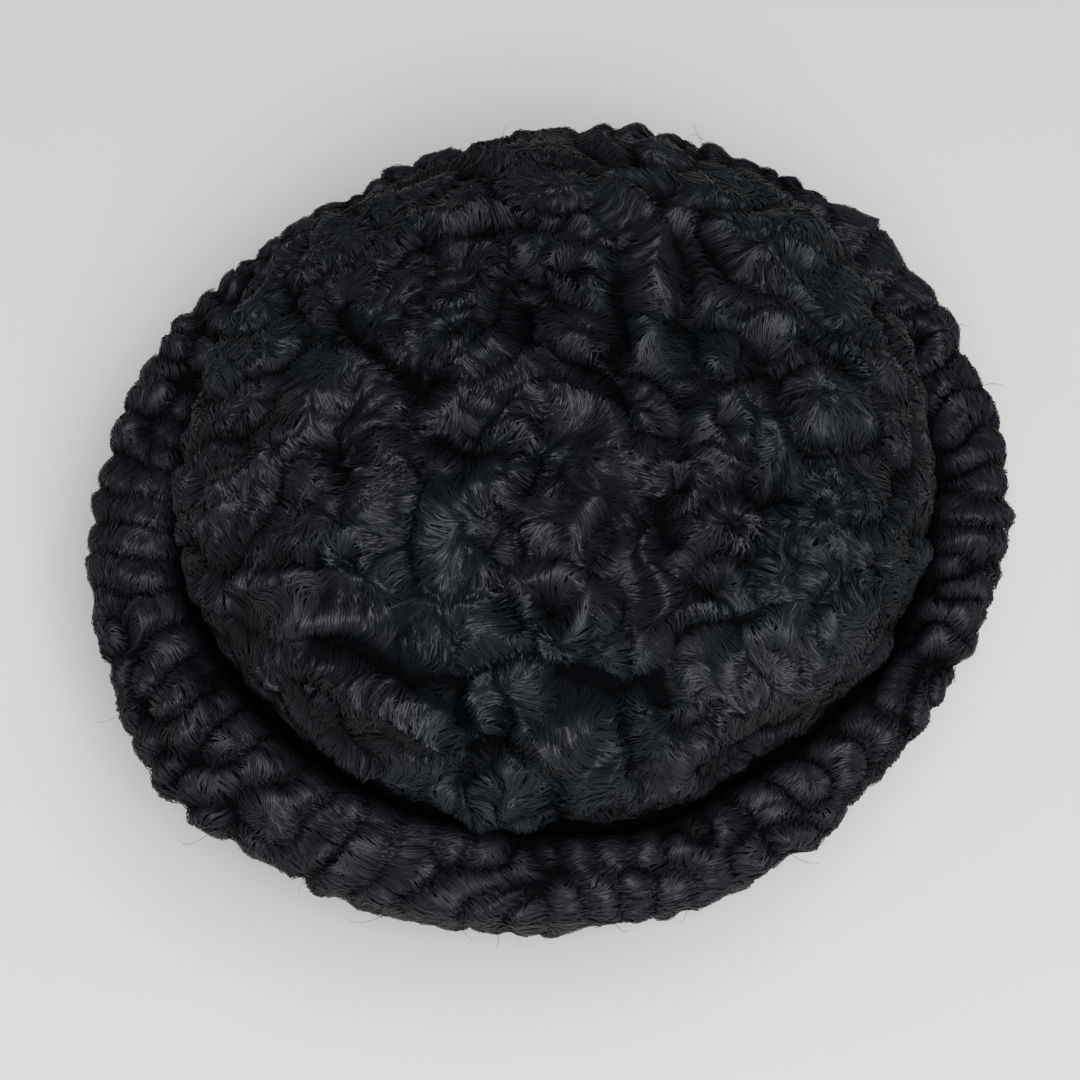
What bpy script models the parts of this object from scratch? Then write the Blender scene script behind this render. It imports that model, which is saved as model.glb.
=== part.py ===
"""Telpek hat in black karakul, the short tight curl of a young lamb.

A tall flared side wall rolls over at its rim and goes down into a groove, where it meets a
domed crown with a rounded, overhanging edge. Both pieces are one skin thick and open below.
Lengths are in metres, +Z is up and the hem lies on Z = 0.
"""

import math

import bpy
import numpy as np

# Pelt
WALL = 0.0070            # skin with its flattened curls
SEAM_WALL = 0.0030       # skin with its curls trimmed, along the seam
SEAM_GAP = 0.0003        # between the two pieces where they meet in the groove

# Side wall
HEAD_RADIUS = 0.0925     # mean inner radius of the hem, for a head of 58 cm
RIM_HEIGHT = 0.0750      # hem to the widest level of the rolled rim
ROLL_CORE = 0.0054       # mean radius of the hollow inside the rolled rim
SEAM_DROP = 0.0070       # how far both pieces go down past the rim's widest level
FLARE_ROUNDING = 1.30    # 1 flares in a straight line, more turns upright near the rim

# Crown
CROWN_RADIUS = 0.1045    # mean radius at its overhanging edge
EDGE_OVERHANG = 0.0025   # reach of the edge out over the groove
EDGE_RADIUS = 0.0050     # rounding of the edge
EDGE_RISE = 0.0040       # edge above the top of the roll beside it
CROWN_RISE = 0.0520      # top of the dome above its edge
CROWN_FULLNESS = 0.92    # 1 is half an ellipse, less is a fuller cushion

# Oval plan, its long axis turned from +X
OVALITY = 0.038
OVAL_TURN = math.radians(45)

# Pipe curls, which run up the side wall and over the roll as ribs
RIB_COUNT = 60
RIB_DEPTH = 0.0016
RIB_MEANDER = 0.9        # radians of a rib's own cycle
RIB_BENDS = 7            # sways of the ribs in one round of the hat
RIB_UNEVENNESS = 0.5     # how much of its depth the weakest rib loses
RIB_WEAK_SPELLS = 5      # stretches of weak ribs in one round of the hat
RIB_FADE = (0.47, 0.80)  # where the ribs start to fade and end, as shares of the way over the roll

# Swells and valleys of the crown's pelt
CREST_HEIGHT = 0.0045
CREST_START = 0.5        # share of the dome's rise from which they have their full height

# Fineness of the mesh. Levels are shares of the way up to the rim, and the edge's turns are
# shares of its arc.
COLUMNS_PER_RIB = 3
CROWN_COLUMNS = 180
INNER_COLUMNS = 60
WALL_LEVELS = (0, 0.22, 0.45, 0.66, 0.85)
INNER_WALL_LEVELS = (0, 0.20, 0.45, 0.70)
ROLL_STEPS = 8
INNER_ROLL_STEPS = 4
EDGE_TURNS = (1, 0.6, 0.3, 0)
DOME_ROWS = 14
TOP_ROWS = 4
INNER_DOME_ROWS = 7

# How the outline leaves the even oval, going round from +X. crown_share is a share of the
# crown's radius at its edge, and roll_share a share of the roll's mean core radius.
OUTLINE_COLUMNS = ("azimuth_deg", "crown_share", "roll_share")
OUTLINE = (
    (0, 0.012, -0.03),
    (15, 0.005, -0.07),
    (30, 0.002, -0.05),
    (45, 0.003, 0.06),
    (60, 0.006, 0.07),
    (78, 0.010, 0.12),
    (95, 0.014, -0.19),
    (110, 0.012, -0.35),
    (130, 0.007, -0.40),
    (150, -0.004, -0.16),
    (170, -0.019, 0.31),
    (185, -0.032, 0.40),
    (200, -0.026, 0.39),
    (212, -0.038, 0.56),
    (222, -0.045, 0.83),
    (232, -0.042, 0.50),
    (242, -0.042, 0.35),
    (255, -0.034, 0.17),
    (270, -0.013, -0.03),
    (285, 0.008, -0.08),
    (300, -0.002, -0.07),
    (315, 0.014, -0.34),
    (330, 0.035, -0.53),
    (345, 0.024, -0.23),
)

# Main swells (rise above 0) and valleys (below 0) of the crown. The middle, half length and
# half width are shares of the crown's radius, and the rise is a share of CREST_HEIGHT.
CREST_COLUMNS = ("east", "north", "half_length", "half_width", "turn_deg", "rise")
CRESTS = (
    (-0.22, 0.14, 0.17, 0.14, 20, 0.7),
    (-0.42, 0.11, 0.22, 0.07, -51, -0.8),
    (-0.09, 0.00, 0.20, 0.08, 17, 0.6),
    (-0.21, 0.44, 0.23, 0.09, 0, 0.8),
    (0.22, 0.45, 0.18, 0.09, -75, 0.9),
    (0.17, 0.14, 0.13, 0.07, 90, -0.8),
    (0.07, -0.31, 0.14, 0.10, 40, 0.7),
    (-0.05, -0.58, 0.12, 0.11, 0, 0.5),
    (0.38, -0.38, 0.15, 0.12, 0, 0.7),
    (0.33, -0.14, 0.12, 0.11, 30, 0.5),
    (0.36, -0.62, 0.17, 0.07, 19, -0.8),
    (-0.45, -0.65, 0.32, 0.07, -24, -1.0),
    (0.20, -0.73, 0.24, 0.07, 12, -1.0),
    (-0.42, -0.79, 0.20, 0.11, -30, 0.9),
    (0.02, -0.86, 0.17, 0.11, 0, 0.8),
    (0.57, -0.70, 0.17, 0.12, 45, 0.9),
    (-0.83, -0.25, 0.12, 0.08, 60, 0.5),
    (-0.53, -0.27, 0.16, 0.12, 10, 0.7),
    (-0.24, -0.45, 0.14, 0.11, -10, 0.5),
    (0.68, -0.02, 0.14, 0.11, 80, 0.6),
    (0.75, -0.32, 0.12, 0.10, 70, 0.5),
    (-0.14, 0.68, 0.22, 0.10, 0, 0.6),
    (0.53, 0.52, 0.16, 0.11, -45, 0.6),
    (-0.62, 0.40, 0.16, 0.10, 50, 0.5),
)

SEAM_HEIGHT = RIM_HEIGHT - SEAM_DROP


def turn_azimuths(columns):
    """The azimuths of a ring's columns, counter-clockwise from +X."""
    return np.arange(columns) * 2 * math.pi / columns


def oval(azimuth):
    """Polar form of an ellipse with half axes 1 + OVALITY and 1 - OVALITY."""
    turned = azimuth - OVAL_TURN
    return 1 / np.hypot(np.cos(turned) / (1 + OVALITY), np.sin(turned) / (1 - OVALITY))


def outline_share(azimuth, column):
    """A column of OUTLINE at any azimuth, eased from row to row by half a cosine wave."""
    field = OUTLINE_COLUMNS.index(column)
    knots = [row[0] for row in OUTLINE] + [OUTLINE[0][0] + 360]
    shares = np.array([row[field] for row in OUTLINE] + [OUTLINE[0][field]])
    place = np.interp(np.degrees(azimuth) % 360, knots, np.arange(len(knots)))
    before = np.minimum(place.astype(int), len(OUTLINE) - 1)
    ease = 0.5 - 0.5 * np.cos(math.pi * (place - before))
    return shares[before] * (1 - ease) + shares[before + 1] * ease


def plan(azimuth):
    """Radii at an azimuth: head opening, crown edge, groove and roll.

    The groove lies under the crown's edge, and the roll fills the way from it to the rim.
    """
    head = HEAD_RADIUS * oval(azimuth)
    edge = CROWN_RADIUS * oval(azimuth) * (1 + outline_share(azimuth, "crown_share"))
    groove = edge - EDGE_OVERHANG
    roll = WALL + ROLL_CORE * (1 + outline_share(azimuth, "roll_share"))
    return head, edge, groove, roll


def edge_height(roll):
    """The level of the crown's edge above the roll beside it."""
    return RIM_HEIGHT + roll + EDGE_RISE


def push_out(radius, height, distance):
    """Move each point of a section out along its normal in its own upright plane.

    The sections run upwards on their outer side, so the normal is the tangent turned right.
    """
    along_radius = np.gradient(radius, axis=0)
    along_height = np.gradient(height, axis=0)
    length = np.hypot(along_radius, along_height)
    return radius + distance * along_height / length, height - distance * along_radius / length


def rib_valley(azimuth, row_share):
    """0 on the crest of a pipe curl, up to 1 in the valley between two of them."""
    sway = RIB_MEANDER * np.sin(RIB_BENDS * azimuth + math.pi * row_share)
    depth = 1 - RIB_UNEVENNESS * (0.5 + 0.5 * np.sin(RIB_WEAK_SPELLS * azimuth))
    return depth * (0.5 - 0.5 * np.cos(RIB_COUNT * azimuth + sway))


def band_fur_rings():
    """Curly side of the side wall, hem to seam: the flare, the round roll, the way down.

    The flare is 1 - (1 - level share) ** FLARE_ROUNDING of the way from hem to rim, and the
    roll half a circle from the rim over to the groove. The ribs fade out inside the groove.
    """
    azimuth = turn_azimuths(RIB_COUNT * COLUMNS_PER_RIB)[None, :]
    head, _, groove, roll = plan(azimuth)
    hem = head + WALL
    rim = groove + 2 * roll
    level = np.array(WALL_LEVELS)[:, None]
    flare_radius = hem + (rim - hem) * (1 - (1 - level) ** FLARE_ROUNDING)
    flare_height = RIM_HEIGHT * level + 0 * azimuth
    angle = np.linspace(0, math.pi, ROLL_STEPS + 1)[:, None]
    roll_radius = groove + roll * (1 + np.cos(angle))
    roll_height = RIM_HEIGHT + roll * np.sin(angle)
    radius = np.vstack((flare_radius, roll_radius, groove))
    height = np.vstack((flare_height, roll_height, SEAM_HEIGHT + 0 * groove))
    row_share = np.linspace(0, 1, len(radius))[:, None]
    over_roll = np.vstack((0 * level, angle / math.pi, [[1]]))
    depth = RIB_DEPTH * np.interp(over_roll, RIB_FADE, (1, 0))
    radius, height = push_out(radius, height, -depth * rib_valley(azimuth, row_share))
    height[0] = 0
    return azimuth, radius, height


def band_inner_rings():
    """Smooth side of the side wall, seam to hem, a wall's thickness inside the curly side.

    The thickness falls from WALL to SEAM_WALL over the roll's inner quarter.
    """
    azimuth = turn_azimuths(INNER_COLUMNS)[None, :]
    head, _, groove, roll = plan(azimuth)
    rim = groove + 2 * roll
    angle = np.linspace(math.pi, 0, INNER_ROLL_STEPS + 1)[:, None]
    thinning = np.clip(2 * angle / math.pi - 1, 0, 1)
    core = roll - WALL - (SEAM_WALL - WALL) * thinning
    level = np.array(INNER_WALL_LEVELS[::-1])[:, None]
    flare = 1 - (1 - level) ** FLARE_ROUNDING
    radius = np.vstack((
        groove + SEAM_WALL,
        groove + roll + core * np.cos(angle),
        head + (rim - WALL - head) * flare,
    ))
    height = np.vstack((
        SEAM_HEIGHT + 0 * azimuth,
        RIM_HEIGHT + core * np.sin(angle),
        RIM_HEIGHT * level + 0 * azimuth,
    ))
    return azimuth, radius, height


def crest_rise(east, north):
    """Swell of the crown's pelt: the sum of CRESTS, each a turned oval Gaussian bump."""
    total = np.zeros_like(east)
    for row in CRESTS:
        crest = dict(zip(CREST_COLUMNS, row))
        turn = math.radians(crest["turn_deg"])
        away_east = east / CROWN_RADIUS - crest["east"]
        away_north = north / CROWN_RADIUS - crest["north"]
        along = away_east * math.cos(turn) + away_north * math.sin(turn)
        across = away_north * math.cos(turn) - away_east * math.sin(turn)
        spread = (along / crest["half_length"]) ** 2 + (across / crest["half_width"]) ** 2
        total += crest["rise"] * np.exp(-spread)
    return CREST_HEIGHT * total


def dome(azimuth, angle, inset):
    """Points of the dome at an angle up from its edge, set in from its curly side.

    Radius is edge * cos(angle) ** CROWN_FULLNESS and height is rise * sin(angle). The edge
    level changes round the hat, and evens out to its mean towards the top.
    """
    _, edge, _, roll = plan(azimuth)
    mean_level = edge_height(plan(turn_azimuths(CROWN_COLUMNS))[3]).mean()
    level = edge_height(roll) * (1 - np.sin(angle)) + mean_level * np.sin(angle)
    radius = (edge - inset) * np.cos(angle) ** CROWN_FULLNESS
    height = level + (CROWN_RISE - inset) * np.sin(angle)
    return radius, height


def crown_fur_section(columns):
    """Curly side of the crown, seam to top: up the groove, round the edge, over the dome.

    The edge is an arc of EDGE_RADIUS from where it leaves the groove's wall to its widest.
    """
    azimuth = turn_azimuths(columns)[None, :]
    _, edge, groove, roll = plan(azimuth)
    seam = groove - SEAM_GAP
    leave = np.arccos(np.clip((seam - edge + EDGE_RADIUS) / EDGE_RADIUS, 0, 1))
    turn = -leave * np.array(EDGE_TURNS)[:, None]
    edge_radius = edge + EDGE_RADIUS * (np.cos(turn) - 1)
    edge_level = edge_height(roll) + EDGE_RADIUS * np.sin(turn)
    angle = np.linspace(0, math.pi / 2, DOME_ROWS + 1)[1:-1, None]
    dome_radius, dome_height = dome(azimuth, angle, 0)
    radius = np.vstack((seam, seam, edge_radius, dome_radius))
    height = np.vstack((
        SEAM_HEIGHT + 0 * seam,
        RIM_HEIGHT + 0 * seam,
        edge_level,
        dome_height,
    ))
    rise = crest_rise(radius * np.cos(azimuth), radius * np.sin(azimuth))
    edge_rows = len(radius) - len(angle)
    fade = np.vstack((np.zeros((edge_rows, 1)), np.clip(np.sin(angle) / CREST_START, 0, 1)))
    radius, height = push_out(radius, height, rise * fade)
    return azimuth, radius, height


def crown_inner_section():
    """Smooth side of the crown, seam to top, WALL inside the curly side of the dome."""
    azimuth = turn_azimuths(INNER_COLUMNS)[None, :]
    _, _, groove, _ = plan(azimuth)
    seam = groove - SEAM_GAP - SEAM_WALL
    angle = np.linspace(0, math.pi / 2, INNER_DOME_ROWS + 1)[:-1, None]
    radius, height = dome(azimuth, angle, WALL)
    radius = np.vstack((seam, radius))
    height = np.vstack((SEAM_HEIGHT + 0 * seam, height))
    return azimuth, radius, height


def ring_points(azimuth, radius, height):
    """One array of points for each row of a section, from its polar coordinates."""
    east = radius * np.cos(azimuth)
    north = radius * np.sin(azimuth)
    return list(np.stack((east, north, height), axis=2))


def stitch(before, after):
    """Faces between two rings of point numbers, of equal counts or one a multiple of the other.

    Both rings run counter-clockwise, and the faces point out where the rings go upwards.
    """
    if len(before) == len(after):
        return [
            (before[i - 1], before[i], after[i], after[i - 1])
            for i in range(len(before))
        ]
    if len(before) < len(after):
        turned = stitch(after, before)
        return [tuple(reversed(face)) for face in turned]
    step = len(before) // len(after)
    faces = []
    for i, tip in enumerate(after):
        for k in range(step):
            start = before[i * step + k]
            end = before[(i * step + k + 1) % len(before)]
            faces.append((start, end, tip))
        if len(after) > 1:
            faces.append((before[(i + 1) * step % len(before)], after[(i + 1) % len(after)], tip))
    return faces


def closed_body(rings, joined_ends):
    """Points and faces of a body from its rings, the last stitched to the first if joined."""
    numbers = []
    count = 0
    for ring in rings:
        numbers.append(list(range(count, count + len(ring))))
        count += len(ring)
    faces = []
    for before, after in zip(numbers, numbers[1:]):
        faces += stitch(before, after)
    if joined_ends:
        faces += stitch(numbers[-1], numbers[0])
    return np.vstack(rings), faces


def side_band_body():
    """The side wall: up its curly side, over the roll to the seam, and back inside to the hem."""
    rings = ring_points(*band_fur_rings()) + ring_points(*band_inner_rings())
    return closed_body(rings, joined_ends=True)


def crown_body():
    """The crown: from the top of its smooth side down to the seam, and up its curly side.

    The curly rings halve their columns twice on the way up, as they grow small.
    """
    top = edge_height(plan(turn_azimuths(CROWN_COLUMNS))[3]).mean() + CROWN_RISE
    inner = ring_points(*crown_inner_section())[::-1]
    full = ring_points(*crown_fur_section(CROWN_COLUMNS))
    half = ring_points(*crown_fur_section(CROWN_COLUMNS // 2))
    quarter = ring_points(*crown_fur_section(CROWN_COLUMNS // 4))
    dome_start = len(full) - (DOME_ROWS - 1)
    top_start = len(full) - TOP_ROWS
    inner_top = np.array([[0, 0, top - WALL]])
    outer_top = np.array([[0, 0, top + crest_rise(np.zeros(1), np.zeros(1))[0]]])
    rings = [inner_top] + inner
    rings += full[:dome_start] + half[dome_start:top_start] + quarter[top_start:]
    return closed_body(rings + [outer_top], joined_ends=False)


def karakul_material(name, colour, roughness):
    """Black dyed curly lamb pelt."""
    material = bpy.data.materials.new(name)
    material.use_nodes = True
    shader = material.node_tree.nodes["Principled BSDF"]
    shader.inputs["Base Color"].default_value = (*colour, 1)
    shader.inputs["Roughness"].default_value = roughness
    shader.inputs["Metallic"].default_value = 0
    return material


def add_object(name, points, faces, material):
    """A smooth-shaded mesh object with its place in its mesh."""
    mesh = bpy.data.meshes.new(name)
    mesh.from_pydata(points.tolist(), [], faces)
    mesh.validate()
    mesh.shade_smooth()
    mesh.set_sharp_from_angle(angle=math.radians(60))
    mesh.materials.append(material)
    hat_piece = bpy.data.objects.new(name, mesh)
    bpy.context.scene.collection.objects.link(hat_piece)
    return hat_piece


def main():
    for old in list(bpy.data.objects):
        bpy.data.objects.remove(old)
    band_points, band_faces = side_band_body()
    crown_points, crown_faces = crown_body()
    both = np.vstack((band_points, crown_points))
    middle = (both.min(axis=0) + both.max(axis=0)) / 2
    middle[2] = 0
    add_object("side_band", band_points - middle, band_faces,
               karakul_material("karakul_side", (0.010, 0.011, 0.011), 0.45))
    add_object("crown", crown_points - middle, crown_faces,
               karakul_material("karakul_crown", (0.009, 0.011, 0.011), 0.42))


main()
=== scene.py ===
"""Telpek hat in black karakul: its curls, its locks of hair and its loose hairs.

The pelt of the side wall and that of the crown are each a smooth skin raised by curls, with
locks of hair laid over them. A pelt is drawn flat first, as a map in metres, and then wrapped
over the hat. Lengths are in metres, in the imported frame.
"""

import math

import bpy
import numpy as np
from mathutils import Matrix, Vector


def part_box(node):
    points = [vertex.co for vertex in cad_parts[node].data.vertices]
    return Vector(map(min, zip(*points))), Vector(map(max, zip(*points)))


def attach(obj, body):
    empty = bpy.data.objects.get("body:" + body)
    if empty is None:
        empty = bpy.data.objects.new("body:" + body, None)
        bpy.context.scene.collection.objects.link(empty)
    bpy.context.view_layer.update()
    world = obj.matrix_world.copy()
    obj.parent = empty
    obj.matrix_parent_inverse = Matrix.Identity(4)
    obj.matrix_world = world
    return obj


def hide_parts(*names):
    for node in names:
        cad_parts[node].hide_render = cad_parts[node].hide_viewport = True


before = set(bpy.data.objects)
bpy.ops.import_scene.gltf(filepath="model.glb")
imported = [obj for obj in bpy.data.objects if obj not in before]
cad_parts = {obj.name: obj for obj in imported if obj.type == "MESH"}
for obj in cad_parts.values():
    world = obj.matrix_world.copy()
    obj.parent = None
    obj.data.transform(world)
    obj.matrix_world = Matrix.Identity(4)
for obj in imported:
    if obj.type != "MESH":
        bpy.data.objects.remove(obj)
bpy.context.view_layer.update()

# Form of the hat, the same values as its solids
WALL = 0.0070
SEAM_WALL = 0.0030
SEAM_GAP = 0.0003
HEAD_RADIUS = 0.0925
RIM_HEIGHT = 0.0750
ROLL_CORE = 0.0054
SEAM_DROP = 0.0070
FLARE_ROUNDING = 1.30
CROWN_RADIUS = 0.1045
EDGE_OVERHANG = 0.0025
EDGE_RADIUS = 0.0050
EDGE_RISE = 0.0040
CROWN_RISE = 0.0520
CROWN_FULLNESS = 0.92
OVALITY = 0.038
OVAL_TURN = math.radians(45)
SEAM_HEIGHT = RIM_HEIGHT - SEAM_DROP

# How the outline leaves the even oval: azimuth in degrees, share of the crown's radius, and
# share of the roll's mean core radius
OUTLINE = np.array((
    (0, 0.012, -0.03),
    (15, 0.005, -0.07),
    (30, 0.002, -0.05),
    (45, 0.003, 0.06),
    (60, 0.006, 0.07),
    (78, 0.010, 0.12),
    (95, 0.014, -0.19),
    (110, 0.012, -0.35),
    (130, 0.007, -0.40),
    (150, -0.004, -0.16),
    (170, -0.019, 0.31),
    (185, -0.032, 0.40),
    (200, -0.026, 0.39),
    (212, -0.038, 0.56),
    (222, -0.045, 0.83),
    (232, -0.042, 0.50),
    (242, -0.042, 0.35),
    (255, -0.034, 0.17),
    (270, -0.013, -0.03),
    (285, 0.008, -0.08),
    (300, -0.002, -0.07),
    (315, 0.014, -0.34),
    (330, 0.035, -0.53),
    (345, 0.024, -0.23),
    (360, 0.012, -0.03),
))

# Curls of the crown's pelt. half_width is in millimetres. Points are east and north of the
# top, measured over the dome, as shares of the pelt's radius.
CURLS = (
    ("crest", 2.0, ((-0.18, -0.06), (-0.14, -0.05), (-0.08, -0.03), (-0.01, 0.02))),
    ("crest", 3.0, ((-0.25, 0.09), (-0.23, 0.03), (-0.19, 0.00), (-0.14, -0.01), (-0.09, 0.04))),
    ("crest", 2.5, ((-0.35, 0.17), (-0.31, 0.11), (-0.26, 0.04))),
    ("crest", 3.0, ((-0.24, 0.35), (-0.12, 0.33), (-0.02, 0.31), (0.04, 0.31), (0.09, 0.27))),
    ("crest", 4.0, ((0.09, 0.42), (0.10, 0.37), (0.15, 0.31), (0.17, 0.23), (0.16, 0.18))),
    ("crest", 3.0, ((0.11, 0.42), (0.16, 0.45), (0.20, 0.47))),
    ("crest", 3.0, ((0.00, 0.22), (0.04, 0.23), (0.08, 0.22))),
    ("crest", 3.5, ((-0.09, -0.14), (-0.06, -0.13), (-0.03, -0.16), (0.01, -0.16))),
    ("crest", 3.5, ((-0.04, -0.17), (-0.06, -0.23), (-0.11, -0.23), (-0.17, -0.25))),
    ("crest", 4.0, ((-0.18, -0.07), (-0.14, -0.06), (-0.09, -0.07), (-0.07, -0.09))),
    ("crest", 4.5, ((0.09, -0.20), (0.07, -0.25), (0.02, -0.29), (0.01, -0.31))),
    ("crest", 3.0, ((0.14, -0.10), (0.16, -0.11))),
    ("crest", 4.0, ((0.14, 0.10), (0.16, 0.05))),
    ("crest", 3.0, ((-0.67, -0.14), (-0.63, -0.22), (-0.57, -0.20))),
    ("crest", 3.0, ((-0.60, -0.16), (-0.57, -0.16), (-0.49, -0.15))),
    ("crest", 3.5, ((-0.38, -0.27), (-0.37, -0.29), (-0.33, -0.28), (-0.29, -0.25))),
    ("crest", 3.5, ((-0.65, -0.34), (-0.58, -0.37), (-0.54, -0.35))),
    ("crest", 3.5, ((-0.35, -0.37), (-0.30, -0.39), (-0.28, -0.36))),
    ("crest", 4.5, ((-0.46, -0.42), (-0.37, -0.43), (-0.27, -0.43))),
    ("crest", 3.5, ((-0.08, -0.40), (-0.01, -0.38), (0.03, -0.39), (0.06, -0.41), (0.03, -0.47))),
    ("crest", 4.0, ((-0.20, -0.33), (-0.14, -0.34), (-0.12, -0.37))),
    ("crest", 4.0, ((-0.24, -0.41), (-0.18, -0.43), (-0.11, -0.42))),
    ("crest", 3.0, ((-0.25, -0.49), (-0.19, -0.50))),
    ("crest", 5.0, ((-0.06, -0.60), (-0.05, -0.64), (-0.02, -0.66), (0.04, -0.65), (0.09, -0.61))),
    ("crest", 4.5, ((0.12, -0.59), (0.12, -0.66), (0.11, -0.73))),
    ("crest", 3.5, ((-0.12, -0.58), (-0.10, -0.62), (-0.09, -0.62))),
    ("crest", 5.0, ((-0.21, -0.77), (-0.14, -0.82), (-0.05, -0.77))),
    ("crest", 5.0, ((0.13, -0.74), (0.20, -0.77), (0.27, -0.74))),
    ("crest", 5.0, ((0.30, -0.56), (0.30, -0.50), (0.38, -0.44), (0.46, -0.45), (0.50, -0.50))),
    ("crest", 5.0, ((0.33, -0.58), (0.40, -0.57), (0.46, -0.53))),
    ("crest", 3.0, ((0.22, -0.45), (0.29, -0.43), (0.35, -0.41))),
    ("crest", 3.0, ((0.45, -0.35), (0.47, -0.34), (0.49, -0.34))),
    ("crest", 3.0, ((0.26, -0.16), (0.31, -0.16))),
    ("crest", 3.0, ((0.35, 0.12), (0.42, 0.12))),
    ("crest", 3.0, ((0.27, 0.03), (0.31, 0.05))),
    ("crest", 3.0, ((0.20, 0.32), (0.24, 0.32), (0.29, 0.34))),
    ("crest", 3.0, ((0.34, 0.27), (0.40, 0.29), (0.46, 0.30))),
    ("crest", 3.5, ((0.51, 0.09), (0.54, 0.05))),
    ("crest", 4.0, ((-0.36, -0.03), (-0.42, -0.04), (-0.46, 0.00))),
    ("crest", 4.0, ((-0.45, -0.09), (-0.38, -0.09), (-0.30, -0.11), (-0.28, -0.15))),
    ("crest", 4.0, ((0.01, -0.06), (0.06, -0.08), (0.10, -0.12))),
    ("crest", 4.0, ((0.15, -0.32), (0.17, -0.38), (0.18, -0.43))),
    ("crest", 3.5, ((-0.49, -0.56), (-0.44, -0.65), (-0.34, -0.71))),
    ("crest", 4.0, ((-0.33, -0.55), (-0.26, -0.58), (-0.19, -0.63))),
    ("valley", 2.5, ((-0.39, 0.18), (-0.35, 0.10), (-0.30, 0.04), (-0.25, -0.01), (-0.21, -0.05))),
    ("valley", 2.5, ((-0.21, -0.03), (-0.18, -0.02))),
    ("valley", 2.0, ((-0.27, 0.12), (-0.26, 0.08))),
    ("valley", 3.0, ((-0.15, 0.29), (-0.08, 0.30), (0.00, 0.30))),
    ("valley", 3.5, ((0.12, 0.18), (0.11, 0.09), (0.11, 0.01))),
    ("valley", 2.5, ((-0.05, 0.12), (-0.05, 0.04))),
    ("valley", 2.5, ((0.01, 0.02), (0.06, -0.01), (0.10, -0.04), (0.12, -0.10), (0.14, -0.12))),
    ("valley", 2.5, ((-0.20, -0.14), (-0.17, -0.15), (-0.13, -0.17), (-0.09, -0.16))),
    ("valley", 2.0, ((-0.02, -0.17), (-0.03, -0.20), (-0.05, -0.24))),
    ("valley", 3.0, ((0.19, -0.25), (0.19, -0.32))),
    ("valley", 2.0, ((-0.08, -0.41), (-0.07, -0.44), (-0.06, -0.46))),
    ("valley", 2.5, ((-0.01, -0.42), (0.01, -0.43), (0.00, -0.45))),
    ("valley", 3.5, (
        (-0.41, -0.46), (-0.33, -0.48), (-0.25, -0.53), (-0.16, -0.56), (-0.14, -0.61),
    )),
    ("valley", 2.5, ((-0.07, -0.59), (-0.07, -0.64), (-0.04, -0.67))),
    ("valley", 4.5, ((0.02, -0.54), (0.07, -0.55), (0.11, -0.57))),
    ("valley", 3.5, ((0.13, -0.56), (0.19, -0.55), (0.21, -0.57))),
    ("valley", 3.0, ((-0.14, -0.65), (-0.12, -0.66), (-0.08, -0.64))),
    ("valley", 2.5, ((0.22, -0.47), (0.29, -0.45), (0.35, -0.43))),
    ("valley", 2.5, ((0.25, -0.40), (0.29, -0.39))),
    ("valley", 2.5, ((-0.37, -0.12), (-0.36, -0.15), (-0.35, -0.19))),
    ("valley", 2.5, ((0.42, 0.11), (0.48, 0.08), (0.52, 0.05))),
    ("valley", 2.5, ((0.24, 0.34), (0.27, 0.29), (0.29, 0.24))),
    ("valley", 2.5, ((0.01, 0.20), (0.03, 0.18), (0.05, 0.19))),
    ("valley", 2.5, ((0.13, -0.56), (0.13, -0.62), (0.14, -0.70))),
    ("valley", 2.5, ((0.28, -0.71), (0.35, -0.67), (0.47, -0.62))),
    ("rosette", 9.0, ((-0.17, 0.16),)),
    ("rosette", 8.5, ((-0.17, 0.07),)),
    ("rosette", 11.0, ((0.28, -0.09),)),
    ("rosette", 9.0, ((0.21, -0.22),)),
    ("rosette", 9.0, ((0.30, -0.28),)),
    ("rosette", 9.0, ((-0.23, -0.55),)),
    ("rosette", 9.0, ((-0.33, -0.34),)),
    ("rosette", 9.0, ((-0.47, -0.12),)),
    ("rosette", 8.0, ((0.03, 0.19),)),
    ("rosette", 8.5, ((0.58, -0.29),)),
    ("rosette", 8.0, ((0.46, -0.22),)),
    ("rosette", 8.0, ((0.02, -0.48),)),
)

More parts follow.
